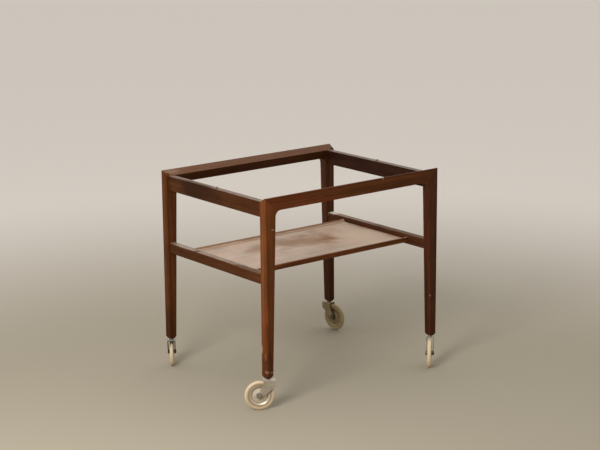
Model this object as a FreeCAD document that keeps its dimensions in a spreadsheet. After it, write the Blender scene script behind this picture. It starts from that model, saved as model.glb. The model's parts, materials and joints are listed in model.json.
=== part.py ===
import FreeCAD, Part
import math
import os
import re

import Sketcher

# Tray table: a mitred hardwood frame on four swivel casters, with a fixed shelf.
# Millimetres, Z up. X runs along the long rails and Y along the end rails.
# The origin is on the floor, midway between the four legs.

# Driving dimensions
SIZES = {
    # Top frame and legs
    "top_length": 590.0,
    "top_depth": 464.0,
    "top_height": 560.0,
    "stock_depth": 23.5,
    "rail_height": 35.5,
    "bevel_drop": 13.0,
    "bevel_land": 4.0,
    "corner_radius": 16.0,
    "edge_radius": 1.5,
    "leg_head_width": 33.5,
    "leg_foot_width": 20.0,
    "foot_chamfer": 4.0,
    "foot_chamfer_height": 7.0,
    # Loose tongues in the mitres
    "spline_length": 18.0,
    "spline_width": 16.0,
    "spline_thickness": 4.0,
    "spline_inset": 5.0,
    "spline_drop": 4.0,
    # End rails and the tray pins on them
    "end_rail_height": 40.0,
    "end_rail_thickness": 20.0,
    "end_rail_inset": 7.0,
    "pin_head_diameter": 8.0,
    "pin_head_height": 4.5,
    "pin_shank_diameter": 4.0,
    "pin_shank_length": 16.0,
    "pin_round": 1.2,
    # Stretchers and dowels
    "stretcher_level": 332.5,
    "stretcher_height": 28.0,
    "stretcher_thickness": 20.0,
    "stretcher_inset": 4.0,
    "dowel_diameter": 8.0,
    "dowel_in_leg": 11.0,
    "dowel_in_rail": 18.0,
    "end_rail_dowel_spread": 16.0,
    "end_rail_dowel_drop": 4.0,
    "stretcher_dowel_spread": 14.0,
    # Shelf
    "shelf_depth": 284.0,
    "shelf_drop": 14.0,
    "panel_thickness": 7.0,
    "tongue_thickness": 4.0,
    "tongue_length": 7.0,
    "lip_width": 12.0,
    "lip_height": 14.5,
    "lip_rise": 7.0,
    "lip_round": 3.0,
    "lip_slope_run": 7.5,
    "lip_slope_drop": 5.5,
    "lip_tongue": 4.5,
    "lip_dowel_diameter": 5.0,
    "lip_dowel_depth": 10.0,
    # Casters: wheel
    "wheel_diameter": 78.0,
    "tyre_width": 10.5,
    "tyre_shoulder": 4.5,
    "tyre_slope": 3.2,
    "tyre_depth": 9.6,
    "bead_depth": 3.4,
    "bead_width": 6.4,
    "disc_sheet": 1.2,
    "disc_flange_gap": 0.2,
    "disc_flange_width": 3.6,
    "disc_cone_width": 4.4,
    "disc_land_width": 3.0,
    "disc_centre_rise": 3.0,
    "disc_centre_ring": 2.0,
    "hub_diameter": 12.0,
    "hub_play": 0.2,
    "axle_diameter": 6.0,
    "axle_clearance": 0.05,
    "axle_head_diameter": 9.0,
    "axle_head_height": 1.8,
    # Casters: fork and swivel
    "caster_trail": 21.5,
    "tyre_clearance": 2.5,
    "fork_width": 21.0,
    "fork_sheet": 1.6,
    "fork_back_length": 19.5,
    "fork_front_length": 12.0,
    "fork_back_height": 18.0,
    "fork_front_height": 12.0,
    "fork_boss_diameter": 13.0,
    "fork_bend": 2.4,
    "stem_diameter": 7.0,
    "stem_length": 32.0,
    "stem_head_diameter": 10.0,
    "stem_head_height": 1.5,
    "washer_diameter": 14.0,
    "washer_thickness": 0.8,
    "swivel_gap": 0.1,
    "swivel_clearance": 0.05,
    "flange_diameter": 12.0,
    "flange_thickness": 2.0,
    "sleeve_diameter": 9.0,
    "sleeve_length": 36.0,
    "ring_diameter": 7.6,
    "ring_groove_diameter": 5.8,
    "ring_height": 3.0,
    "ring_level": 24.0,
    "ring_clearance": 0.2,
    # Way each caster trails at rest, in degrees from +X
    "swivel_front_left": 148.0,
    "swivel_front_right": -135.0,
    "swivel_back_left": 54.0,
    "swivel_back_right": -84.0,
}
# Degrees of a grip ring's turn
RING_SWEEP = 320.0
# Where a fork's cheek runs into the boss round the axle: two bearings in degrees, and a share of its radius
BOSS_BACK = 228
BOSS_FRONT = 25
BOSS_REACH = 0.98
# Tests on edges: how near counts as on a face, as touching, and as running along an axis (a cosine)
NEAR_FACE = 1.0
TOUCHING = 0.01
ALONG_AXIS = 0.95
# Cubic millimetres that a cut has to take away
LEAST_CUT = 1.0
LENGTHWISE = {"left": -1, "right": 1}
DEPTHWISE = {"front": -1, "back": 1}
X_AXIS = FreeCAD.Vector(1, 0, 0)
Y_AXIS = FreeCAD.Vector(0, 1, 0)
Z_AXIS = FreeCAD.Vector(0, 0, 1)

# Places worked out from the driving dimensions
FORK_PLATE_BOTTOM = "(wheel_diameter + tyre_clearance)"
FORK_PLATE_TOP = "(wheel_diameter + tyre_clearance + fork_sheet)"
FLANGE_BOTTOM = f"({FORK_PLATE_TOP} + washer_thickness + swivel_gap)"
FOOT = f"({FLANGE_BOTTOM} + flange_thickness)"
FOOT_X = "(top_length / 2 - leg_foot_width / 2)"
FOOT_Y = "(top_depth / 2 - stock_depth / 2)"
OUTER_Y = "(top_depth / 2)"
INNER_Y = "(top_depth / 2 - stock_depth)"
RAIL_BOTTOM = "(top_height - rail_height)"
HEAD_X = "(top_length / 2 - leg_head_width)"
ARC_END_X = f"({HEAD_X} - corner_radius)"
ARC_END_Z = f"({RAIL_BOTTOM} - corner_radius)"
MITRE_RUN = "sqrt(leg_head_width^2 + rail_height^2)"
MITRE_SUM = f"((leg_head_width + rail_height) / {MITRE_RUN})"
MITRE_REACH = f"(corner_radius * ({MITRE_SUM} - sqrt({MITRE_SUM}^2 - 1)))"
MITRE_END_X = f"({HEAD_X} - {MITRE_REACH} * leg_head_width / {MITRE_RUN})"
MITRE_END_Z = f"({RAIL_BOTTOM} - {MITRE_REACH} * rail_height / {MITRE_RUN})"
SPLINE_X = f"(top_length / 2 - leg_head_width / 2 - spline_drop * leg_head_width / {MITRE_RUN})"
SPLINE_Z = f"(top_height - rail_height / 2 - spline_drop * rail_height / {MITRE_RUN})"
END_RAIL_TOP = "(top_height - bevel_drop)"
END_RAIL_MIDDLE = f"({END_RAIL_TOP} - end_rail_height / 2)"
END_RAIL_X = "(top_length / 2 - end_rail_inset - end_rail_thickness / 2)"
STRETCHER_X = "(top_length / 2 - stretcher_inset - stretcher_thickness / 2)"
STRETCHER_FACE = "(top_length / 2 - stretcher_inset - stretcher_thickness)"
STRETCHER_MIDDLE = "(stretcher_level + stretcher_height / 2)"
PANEL_TOP = "(stretcher_level + stretcher_height - shelf_drop)"
TONGUE_BOTTOM = f"({PANEL_TOP} - panel_thickness / 2 - tongue_thickness / 2)"
PANEL_HALF = "(shelf_depth / 2 - lip_width)"
LIP_TOP = f"({PANEL_TOP} + lip_rise)"
LIP_DOWEL_Y = "(shelf_depth / 2 - (lip_width - lip_tongue) / 2)"
LIP_DOWEL_Z = f"({LIP_TOP} - lip_height / 2)"
AXLE_HEIGHT = "(wheel_diameter / 2)"
STEM_BORE = "(stem_diameter / 2 + swivel_clearance)"
RING_BOTTOM = f"({FOOT} + ring_level)"
RING_RECESS = "(ring_diameter / 2 + ring_clearance)"
FORK_INSIDE = "(fork_width / 2 - fork_sheet)"
TYRE_SEAT = "(wheel_diameter / 2 - tyre_depth)"
FLANGE_RIM = f"({TYRE_SEAT} - disc_flange_gap)"
CONE_RIM = f"({FLANGE_RIM} - disc_flange_width)"
CONE_FOOT = f"({CONE_RIM} - disc_cone_width)"
CENTRE_FOOT = f"({CONE_FOOT} - disc_land_width)"
CENTRE_TOP = "(hub_diameter / 2 + disc_centre_ring)"

doc = FreeCAD.newDocument("tray_table")
sheet = doc.addObject("Spreadsheet::Sheet", "Sizes")
for row, (alias, size) in enumerate(SIZES.items(), start=1):
    sheet.set(f"A{row}", alias)
    sheet.set(f"B{row}", str(size))
    sheet.setAlias(f"B{row}", alias)
doc.recompute()
sub_parts = []


# Expressions, sketches and features
def sized(text):
    """The expression with every size's name pointed at the sheet."""
    def point(word):
        name = word.group()
        return f"Sizes.{name}" if name in SIZES else name
    return re.sub(r"[a-z_]+", point, text)


def number(text):
    """What an expression comes to."""
    return float(sheet.evalExpression(sized(text)))


def bind_base(feature, place):
    """Ties a feature's position to three expressions."""
    for axis, text in zip("xyz", place):
        feature.setExpression(f"Placement.Base.{axis}", sized(text))


def new_body(label):
    body = doc.addObject("PartDesign::Body", label)
    body.Label = label
    sub_parts.append(body)
    return body


def origin_plane(body, role):
    return [item for item in body.Origin.OriginFeatures if item.Role == role][0]


def new_sketch(body, role, name, offset):
    sketch = body.newObject("Sketcher::SketchObject", name)
    sketch.AttachmentSupport = (origin_plane(body, role), "")
    sketch.MapMode = "FlatFace"
    sketch.setExpression("AttachmentOffset.Base.z", sized(offset))
    return sketch


def tie(sketch, kind, where, text):
    """One dimension of a sketch, driven by an expression."""
    index = sketch.addConstraint(Sketcher.Constraint(kind, *where, number(text)))
    sketch.setExpression(f"Constraints[{index}]", sized(text))


def arc_between(start, end, radius, side):
    """An arc from start to end, with its centre left (1) or right (-1) of the way there."""
    middle = (start + end) * 0.5
    half_chord = (end - start) * 0.5
    left = FreeCAD.Vector(-half_chord.y, half_chord.x, 0).normalize()
    centre = middle + left * (side * math.sqrt(radius ** 2 - half_chord.Length ** 2))
    crown = centre + (middle - centre).normalize() * radius
    return Part.Arc(start, crown, end)


def add_loop(sketch, corners, bends=()):
    """A closed outline through corners. bends maps a corner to (radius, side) of the arc after it."""
    bends = dict(bends)
    first = sketch.GeometryCount
    count = len(corners)
    points = [FreeCAD.Vector(number(across), number(up), 0) for across, up in corners]
    ends = []
    for i in range(count):
        start, end = points[i], points[(i + 1) % count]
        if i in bends:
            radius, side = bends[i]
            sketch.addGeometry(arc_between(start, end, number(radius), side), False)
            ends.append((1, 2) if side > 0 else (2, 1))
        else:
            sketch.addGeometry(Part.LineSegment(start, end), False)
            ends.append((1, 2))
    for i in range(count):
        after = (i + 1) % count
        sketch.addConstraint(
            Sketcher.Constraint("Coincident", first + i, ends[i][1], first + after, ends[after][0]))
        here = (-1, 1, first + i, ends[i][0])
        tie(sketch, "DistanceX", here, corners[i][0])
        tie(sketch, "DistanceY", here, corners[i][1])
        if i in bends:
            tie(sketch, "Radius", (first + i,), bends[i][0])


def outline(body, role, name, loops, bends=(), offset="0"):
    """A sketch on one of the body's origin planes; bends belong to the first loop."""
    sketch = new_sketch(body, role, name, offset)
    for order, corners in enumerate(loops):
        add_loop(sketch, corners, bends if order == 0 else ())
    return sketch


def pad(body, sketch, name, length, side_type="One side", backwards=False):
    feature = body.newObject("PartDesign::Pad", name)
    feature.Profile = sketch
    feature.SideType = side_type
    feature.Reversed = backwards
    feature.setExpression("Length", sized(length))
    return feature


def cut_through(body, sketch, name):
    """Cuts a sketch right through the body, both ways."""
    feature = body.newObject("PartDesign::Pocket", name)
    feature.Profile = sketch
    feature.SideType = "Two sides"
    feature.Type = "ThroughAll"
    feature.Type2 = "ThroughAll"
    return feature


def bore(body, name, start, along, diameter, depth):
    """A round hole from a point, in the direction along."""
    tool = body.newObject("PartDesign::SubtractiveCylinder", name)
    tool.setExpression("Radius", sized(f"{diameter} / 2"))
    tool.setExpression("Height", sized(depth))
    tool.Placement = FreeCAD.Placement(FreeCAD.Vector(), FreeCAD.Rotation(Z_AXIS, along))
    bind_base(tool, start)


def block(body, kind, name, low, size):
    """A box added to or cut from a body; kind is Additive or Subtractive."""
    box = body.newObject(f"PartDesign::{kind}Box", name)
    for prop, text in zip(("Length", "Width", "Height"), size):
        box.setExpression(prop, sized(text))
    bind_base(box, low)
    return box


def turned(label, profile, sweep=360.0):
    """A piece turned round its own Z axis, from corners given as (radius, height)."""
    body = new_body(label)
    sketch = outline(body, "XZ_Plane", label + "_profile", [profile])
    feature = body.newObject("PartDesign::Revolution", label + "_turn")
    feature.Profile = sketch
    feature.ReferenceAxis = (sketch, ["V_Axis"])
    feature.Angle = sweep
    return body


def round_edges(body, name, radius, chosen):
    """A fillet on the edges of the body so far for which chosen(edge) is true."""
    doc.recompute()
    base = body.Tip
    names = [f"Edge{i}" for i, edge in enumerate(base.Shape.Edges, start=1) if chosen(edge)]
    feature = body.newObject("PartDesign::Fillet", name)
    feature.Base = (base, names)
    feature.setExpression("Radius", sized(radius))
    return feature


def runs_along(axis):
    """True for straight edges within a few degrees of an axis, and for arcs."""
    def chosen(edge):
        if isinstance(edge.Curve, Part.Circle):
            return True
        direction = edge.tangentAt(edge.FirstParameter)
        return abs(direction.dot(axis)) > ALONG_AXIS
    return chosen


def grouped(label, pegs):
    group = doc.addObject("Part::Compound", label)
    group.Label = label
    group.Links = pegs
    sub_parts.append(group)


def peg(name, start, along, diameter, length):
    """A dowel from a point, in the direction along."""
    dowel = doc.addObject("Part::Cylinder", name)
    dowel.setExpression("Radius", sized(f"{diameter} / 2"))
    dowel.setExpression("Height", sized(length))
    dowel.Placement = FreeCAD.Placement(FreeCAD.Vector(), FreeCAD.Rotation(Z_AXIS, along))
    bind_base(dowel, start)
    return dowel


# Mitred top frame
def spline_box(feature, x_sign, y_sign):
    """Sets a box as the loose tongue that crosses one mitre."""
    mitre_angle = math.degrees(math.atan2(number("rail_height"), number("leg_head_width")))
    turn = FreeCAD.Rotation(Y_AXIS, -mitre_angle if x_sign > 0 else mitre_angle - 180.0)
    along = turn.multVec(X_AXIS)
    across = turn.multVec(Z_AXIS)
    feature.Placement = FreeCAD.Placement(FreeCAD.Vector(), turn)
    feature.setExpression("Length", sized("spline_length"))
    feature.setExpression("Width", sized("spline_thickness"))
    feature.setExpression("Height", sized("spline_width"))
    corner_x = f"{x_sign} * {SPLINE_X} - {along.x} * spline_length / 2 - {across.x} * spline_width / 2"
    corner_z = f"{SPLINE_Z} - {along.z} * spline_length / 2 - {across.z} * spline_width / 2"
    corner_y = f"{y_sign} * ({OUTER_Y} - spline_inset - spline_thickness / 2) - spline_thickness / 2"
    bind_base(feature, (corner_x, corner_y, corner_z))
    return feature


def cut_bevel(body, name, y_sign):
    """The slope from the narrow land on top of a long rail down to its inner face."""
    slope = [
        (f"{y_sign} * ({OUTER_Y} - bevel_land)", "top_height"),
        (f"{y_sign} * {INNER_Y}", END_RAIL_TOP),
        (f"{y_sign} * {INNER_Y}", "top_height"),
    ]
    cut_through(body, outline(body, "YZ_Plane", name + "_slope", [slope]), name + "_bevel")


def foot_wedge(near, inward, foot):
    """The triangle that chamfers one side of a leg's foot."""
    return [
        (f"{near} + {inward} * foot_chamfer", foot),
        (f"{near} - {inward} * foot_chamfer", f"{foot} + 2 * foot_chamfer_height"),
        (f"{near} - {inward} * foot_chamfer", foot),
    ]


def make_leg(label, x_sign, y_sign):
    body = new_body(label)
    corners = [
        (f"{x_sign} * top_length / 2", FOOT),
        (f"{x_sign} * top_length / 2", "top_height"),
        (f"{x_sign} * {MITRE_END_X}", MITRE_END_Z),
        (f"{x_sign} * {HEAD_X}", ARC_END_Z),
        (f"{x_sign} * (top_length / 2 - leg_foot_width)", FOOT),
    ]
    face = outline(body, "XZ_Plane", label + "_face", [corners],
                   {2: ("corner_radius", -x_sign)}, f"-({y_sign}) * {OUTER_Y}")
    pad(body, face, label + "_blank", "stock_depth", backwards=y_sign < 0)
    round_edges(body, label + "_edges", "edge_radius", runs_along(Z_AXIS))
    cut_bevel(body, label, y_sign)
    outside = foot_wedge(f"{x_sign} * top_length / 2", -x_sign, FOOT)
    inside = foot_wedge(f"{x_sign} * (top_length / 2 - leg_foot_width)", x_sign, FOOT)
    ends = outline(body, "XZ_Plane", label + "_ends", [outside, inside])
    cut_through(body, ends, label + "_end_chamfer")
    outside = foot_wedge(f"{y_sign} * {OUTER_Y}", -y_sign, FOOT)
    inside = foot_wedge(f"{y_sign} * {INNER_Y}", y_sign, FOOT)
    sides = outline(body, "YZ_Plane", label + "_sides", [outside, inside])
    cut_through(body, sides, label + "_side_chamfer")
    bore(body, label + "_socket_bore", (f"{x_sign} * {FOOT_X}", f"{y_sign} * {FOOT_Y}", FOOT), Z_AXIS,
         "sleeve_diameter", "sleeve_length")
    for name, x, height in dowel_rows():
        bore(body, label + name, (f"{x_sign} * {x}", f"{y_sign} * {INNER_Y}", height), Y_AXIS * y_sign,
             "dowel_diameter", "dowel_in_leg")
    spline_box(body.newObject("PartDesign::SubtractiveBox", label + "_spline_slot"), x_sign, y_sign)


def make_long_rail(label, y_sign):
    body = new_body(label)
    corners = [
        ("-top_length / 2", "top_height"),
        ("top_length / 2", "top_height"),
        (MITRE_END_X, MITRE_END_Z),
        (ARC_END_X, RAIL_BOTTOM),
        (f"-{ARC_END_X}", RAIL_BOTTOM),
        (f"-{MITRE_END_X}", MITRE_END_Z),
    ]
    face = outline(body, "XZ_Plane", label + "_face", [corners],
                   {2: ("corner_radius", 1), 4: ("corner_radius", 1)}, f"-({y_sign}) * {OUTER_Y}")
    pad(body, face, label + "_blank", "stock_depth", backwards=y_sign < 0)
    inner_y = number(INNER_Y)
    top = number("top_height")
    lengthwise = runs_along(X_AXIS)

    def chosen(edge):
        middle = edge.CenterOfMass
        under_bevel = middle.z > top - NEAR_FACE and abs(middle.y) < inner_y + NEAR_FACE
        return lengthwise(edge) and not under_bevel

    round_edges(body, label + "_edges", "edge_radius", chosen)
    cut_bevel(body, label, y_sign)
    for end, x_sign in LENGTHWISE.items():
        slot = body.newObject("PartDesign::SubtractiveBox", f"{label}_{end}_spline_slot")
        spline_box(slot, x_sign, y_sign)


def dowel_rows():
    """Name, distance from the middle and height of each dowel between a leg and the rails it takes."""
    rows = []
    for level, sign in (("low", -1), ("high", 1)):
        rows.append((f"_end_rail_{level}", END_RAIL_X,
                     f"{END_RAIL_MIDDLE} - end_rail_dowel_drop + {sign} * end_rail_dowel_spread / 2"))
        rows.append((f"_stretcher_{level}", STRETCHER_X,
                     f"{STRETCHER_MIDDLE} + {sign} * stretcher_dowel_spread / 2"))
    return rows


# Rails from front to back
def make_cross_rail(label, x_sign, centre_x, bottom, thickness, height, kind):
    """A rail between a front and a back leg, with dowel holes in both ends."""
    body = new_body(label)
    near = f"{x_sign} * {centre_x} - {thickness} / 2"
    far = f"{x_sign} * {centre_x} + {thickness} / 2"
    top = f"{bottom} + {height}"
    section = [(near, bottom), (far, bottom), (far, top), (near, top)]
    face = outline(body, "XZ_Plane", label + "_section", [section])
    pad(body, face, label + "_blank", f"2 * {INNER_Y}", "Symmetric")
    round_edges(body, label + "_edges", "edge_radius", runs_along(Y_AXIS))
    for side, y_sign in DEPTHWISE.items():
        for name, x, level in dowel_rows():
            if kind in name:
                bore(body, label + name + "_" + side, (f"{x_sign} * {x}", f"{y_sign} * {INNER_Y}", level),
                     Y_AXIS * -y_sign, "dowel_diameter", "dowel_in_rail")
    return body


def make_end_rail(side, x_sign):
    label = f"end_rail_{side}"
    body = make_cross_rail(label, x_sign, END_RAIL_X, f"({END_RAIL_TOP} - end_rail_height)",
                           "end_rail_thickness", "end_rail_height", "end_rail")
    bore(body, label + "_pin_bore", (f"{x_sign} * {END_RAIL_X}", "0", END_RAIL_TOP), -Z_AXIS,
         "pin_shank_diameter", "pin_shank_length")
    pin = turned(f"tray_pin_{side}", [
        ("0", "-pin_shank_length"),
        ("pin_shank_diameter / 2", "-pin_shank_length"),
        ("pin_shank_diameter / 2", "0"),
        ("pin_head_diameter / 2", "0"),
        ("pin_head_diameter / 2", "pin_head_height"),
        ("0", "pin_head_height"),
    ])
    crown = number("pin_head_height")
    round_edges(pin, f"tray_pin_{side}_crown", "pin_round",
                lambda edge: isinstance(edge.Curve, Part.Circle) and edge.CenterOfMass.z > crown / 2)
    bind_base(pin, (f"{x_sign} * {END_RAIL_X}", "0", END_RAIL_TOP))


def make_stretcher(side, x_sign):
    label = f"stretcher_{side}"
    body = make_cross_rail(label, x_sign, STRETCHER_X, "stretcher_level",
                           "stretcher_thickness", "stretcher_height", "stretcher")
    groove_start = STRETCHER_FACE if x_sign > 0 else f"-{STRETCHER_FACE} - tongue_length"
    block(body, "Subtractive", label + "_groove", (groove_start, f"-{PANEL_HALF}", TONGUE_BOTTOM),
          ("tongue_length", f"2 * {PANEL_HALF}", "tongue_thickness"))
    for lip, y_sign in DEPTHWISE.items():
        bore(body, f"{label}_{lip}_lip_bore",
             (f"{x_sign} * {STRETCHER_FACE}", f"{y_sign} * {LIP_DOWEL_Y}", LIP_DOWEL_Z), X_AXIS * x_sign,
             "lip_dowel_diameter", "lip_dowel_depth")


# Shelf
def make_shelf():
    panel = new_body("shelf_panel")
    block(panel, "Additive", "panel_board",
          (f"-{STRETCHER_FACE}", f"-{PANEL_HALF}", f"{PANEL_TOP} - panel_thickness"),
          (f"2 * {STRETCHER_FACE}", f"2 * {PANEL_HALF}", "panel_thickness"))
    block(panel, "Additive", "panel_end_tongues",
          (f"-{STRETCHER_FACE} - tongue_length", f"-{PANEL_HALF}", TONGUE_BOTTOM),
          (f"2 * {STRETCHER_FACE} + 2 * tongue_length", f"2 * {PANEL_HALF}", "tongue_thickness"))
    block(panel, "Additive", "panel_side_tongues",
          (f"-{STRETCHER_FACE}", f"-{PANEL_HALF} - lip_tongue", TONGUE_BOTTOM),
          (f"2 * {STRETCHER_FACE}", f"2 * {PANEL_HALF} + 2 * lip_tongue", "tongue_thickness"))
    for side, y_sign in DEPTHWISE.items():
        label = f"shelf_lip_{side}"
        body = new_body(label)
        outer = f"{y_sign} * shelf_depth / 2"
        inner = f"{y_sign} * {PANEL_HALF}"
        bottom = f"{LIP_TOP} - lip_height"
        section = [
            (outer, bottom),
            (outer, LIP_TOP),
            (f"{y_sign} * ({PANEL_HALF} + lip_slope_run)", LIP_TOP),
            (inner, f"{LIP_TOP} - lip_slope_drop"),
            (inner, bottom),
        ]
        face = outline(body, "YZ_Plane", label + "_section", [section])
        pad(body, face, label + "_blank", f"2 * {STRETCHER_FACE}", "Symmetric")
        outer_y = number(outer)
        lengthwise = runs_along(X_AXIS)
        round_edges(body, label + "_edges", "lip_round",
                    lambda edge: lengthwise(edge) and abs(edge.CenterOfMass.y - outer_y) < NEAR_FACE)
        groove_start = inner if y_sign > 0 else f"{inner} - lip_tongue"
        block(body, "Subtractive", label + "_groove", (f"-{STRETCHER_FACE}", groove_start, TONGUE_BOTTOM),
              (f"2 * {STRETCHER_FACE}", "lip_tongue", "tongue_thickness"))
        for end, x_sign in LENGTHWISE.items():
            mouth = (f"{x_sign} * {STRETCHER_FACE}", f"{y_sign} * {LIP_DOWEL_Y}", LIP_DOWEL_Z)
            bore(body, f"{label}_{end}_bore", mouth, X_AXIS * -x_sign,
                 "lip_dowel_diameter", "lip_dowel_depth")


# Hidden tongues and dowels
def make_hidden_joints():
    splines = []
    rail_pegs = {"end_rail": [], "stretcher": []}
    lip_pegs = []
    for side, x_sign in LENGTHWISE.items():
        for face, y_sign in DEPTHWISE.items():
            corner = f"{face}_{side}"
            splines.append(spline_box(doc.addObject("Part::Box", f"spline_{corner}"), x_sign, y_sign))
            for name, x, height in dowel_rows():
                start = (f"{x_sign} * {x}", f"{y_sign} * ({INNER_Y} + dowel_in_leg)", height)
                kind = "end_rail" if "end_rail" in name else "stretcher"
                rail_pegs[kind].append(peg(f"dowel{name}_{corner}", start, Y_AXIS * -y_sign,
                                           "dowel_diameter", "dowel_in_leg + dowel_in_rail"))
            start_x = f"{x_sign} * ({STRETCHER_FACE} + lip_dowel_depth)"
            start = (start_x, f"{y_sign} * {LIP_DOWEL_Y}", LIP_DOWEL_Z)
            lip_pegs.append(peg(f"lip_dowel_{corner}", start, X_AXIS * -x_sign,
                                "lip_dowel_diameter", "2 * lip_dowel_depth"))
    grouped("corner_splines", splines)
    for kind, pegs in rail_pegs.items():
        grouped(f"{kind}_dowels", pegs)
    grouped("lip_dowels", lip_pegs)


# Casters
def turn_to(body, place, rotation):
    body.Placement = FreeCAD.Placement(FreeCAD.Vector(), rotation)
    bind_base(body, place)


def make_fork(label):
    """A pressed yoke: a plate under the leg with a cheek down each side of the wheel."""
    body = new_body(label)
    boss = "fork_boss_diameter / 2"
    reach = f"{boss} * {BOSS_REACH}"
    cheek = [
        ("-fork_back_length", FORK_PLATE_TOP),
        ("-fork_back_length", f"{FORK_PLATE_TOP} - fork_back_height"),
        (f"caster_trail + {reach} * cos({BOSS_BACK})", f"{AXLE_HEIGHT} + {reach} * sin({BOSS_BACK})"),
        (f"caster_trail + {reach} * cos({BOSS_FRONT})", f"{AXLE_HEIGHT} + {reach} * sin({BOSS_FRONT})"),
        ("fork_front_length", f"{FORK_PLATE_TOP} - fork_front_height"),
        ("fork_front_length", FORK_PLATE_TOP),
    ]
    face = outline(body, "XZ_Plane", label + "_cheek", [cheek])
    pad(body, face, label + "_blank", "fork_width", "Symmetric")
    disc = new_sketch(body, "XZ_Plane", label + "_boss_outline", "0")
    disc.addGeometry(Part.Circle(FreeCAD.Vector(number("caster_trail"), number(AXLE_HEIGHT), 0), Z_AXIS,
                                 number(boss)), False)
    tie(disc, "Radius", (0,), boss)
    tie(disc, "DistanceX", (-1, 1, 0, 3), "caster_trail")
    tie(disc, "DistanceY", (-1, 1, 0, 3), AXLE_HEIGHT)
    pad(body, disc, label + "_boss", "fork_width", "Symmetric")
    plate_top = number(FORK_PLATE_TOP)
    lengthwise = runs_along(X_AXIS)
    round_edges(body, label + "_bends", "fork_bend",
                lambda edge: edge.CenterOfMass.z > plate_top - TOUCHING and lengthwise(edge))
    gap = [
        (f"-{FORK_INSIDE}", "0"),
        (FORK_INSIDE, "0"),
        (FORK_INSIDE, FORK_PLATE_BOTTOM),
        (f"-{FORK_INSIDE}", FORK_PLATE_BOTTOM),
    ]
    cut_through(body, outline(body, "YZ_Plane", label + "_gap_outline", [gap]), label + "_gap")
    bore(body, label + "_axle_hole", ("caster_trail", "-fork_width / 2", AXLE_HEIGHT), Y_AXIS,
         "axle_diameter", "fork_width")
    bore(body, label + "_stem_hole", ("0", "0", FORK_PLATE_BOTTOM), Z_AXIS, "stem_diameter", "fork_sheet")
    return body


def make_swivel(corner):
    """The pieces on the swivel axis, in heights above the floor."""
    stem = "stem_diameter / 2"
    socket = turned(f"{corner}_socket", [
        (STEM_BORE, FLANGE_BOTTOM),
        ("flange_diameter / 2", FLANGE_BOTTOM),
        ("flange_diameter / 2", FOOT),
        ("sleeve_diameter / 2", FOOT),
        ("sleeve_diameter / 2", f"{FOOT} + sleeve_length"),
        (STEM_BORE, f"{FOOT} + sleeve_length"),
        (STEM_BORE, f"{RING_BOTTOM} + ring_height + ring_clearance"),
        (RING_RECESS, f"{RING_BOTTOM} + ring_height + ring_clearance"),
        (RING_RECESS, f"{RING_BOTTOM} - ring_clearance"),
        (STEM_BORE, f"{RING_BOTTOM} - ring_clearance"),
    ])
    washer = turned(f"{corner}_washer", [
        (STEM_BORE, FORK_PLATE_TOP),
        ("washer_diameter / 2", FORK_PLATE_TOP),
        ("washer_diameter / 2", f"{FORK_PLATE_TOP} + washer_thickness"),
        (STEM_BORE, f"{FORK_PLATE_TOP} + washer_thickness"),
    ])
    pin = turned(f"{corner}_stem", [
        ("0", f"{FORK_PLATE_BOTTOM} - stem_head_height"),
        ("stem_head_diameter / 2", f"{FORK_PLATE_BOTTOM} - stem_head_height"),
        ("stem_head_diameter / 2", FORK_PLATE_BOTTOM),
        (stem, FORK_PLATE_BOTTOM),
        (stem, RING_BOTTOM),
        ("ring_groove_diameter / 2", RING_BOTTOM),
        ("ring_groove_diameter / 2", f"{RING_BOTTOM} + ring_height"),
        (stem, f"{RING_BOTTOM} + ring_height"),
        (stem, f"{FOOT} + stem_length"),
        ("0", f"{FOOT} + stem_length"),
    ])
    ring = turned(f"{corner}_grip_ring", [
        ("ring_groove_diameter / 2", RING_BOTTOM),
        ("ring_diameter / 2", RING_BOTTOM),
        ("ring_diameter / 2", f"{RING_BOTTOM} + ring_height"),
        ("ring_groove_diameter / 2", f"{RING_BOTTOM} + ring_height"),
    ], RING_SWEEP)
    return [socket, washer, pin, ring]


def make_disc(label, side):
    """A pressed disc: raised centre on the hub, valley, cone, and a flange that holds the tyre's bead."""
    rim = "bead_width / 2"
    return turned(label, [
        ("hub_diameter / 2", f"{side} * disc_centre_rise"),
        (CENTRE_TOP, f"{side} * disc_centre_rise"),
        (CENTRE_FOOT, "0"),
        (f"{CONE_FOOT} + disc_sheet / 2", "0"),
        (f"{CONE_RIM} + disc_sheet / 2", f"{side} * {rim}"),
        (FLANGE_RIM, f"{side} * {rim}"),
        (FLANGE_RIM, f"{side} * ({rim} + disc_sheet)"),
        (CONE_RIM, f"{side} * ({rim} + disc_sheet)"),
        (CONE_FOOT, f"{side} * disc_sheet"),
        (CENTRE_FOOT, f"{side} * disc_sheet"),
        (CENTRE_TOP, f"{side} * (disc_centre_rise + disc_sheet)"),
        ("hub_diameter / 2", f"{side} * (disc_centre_rise + disc_sheet)"),
    ])


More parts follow.
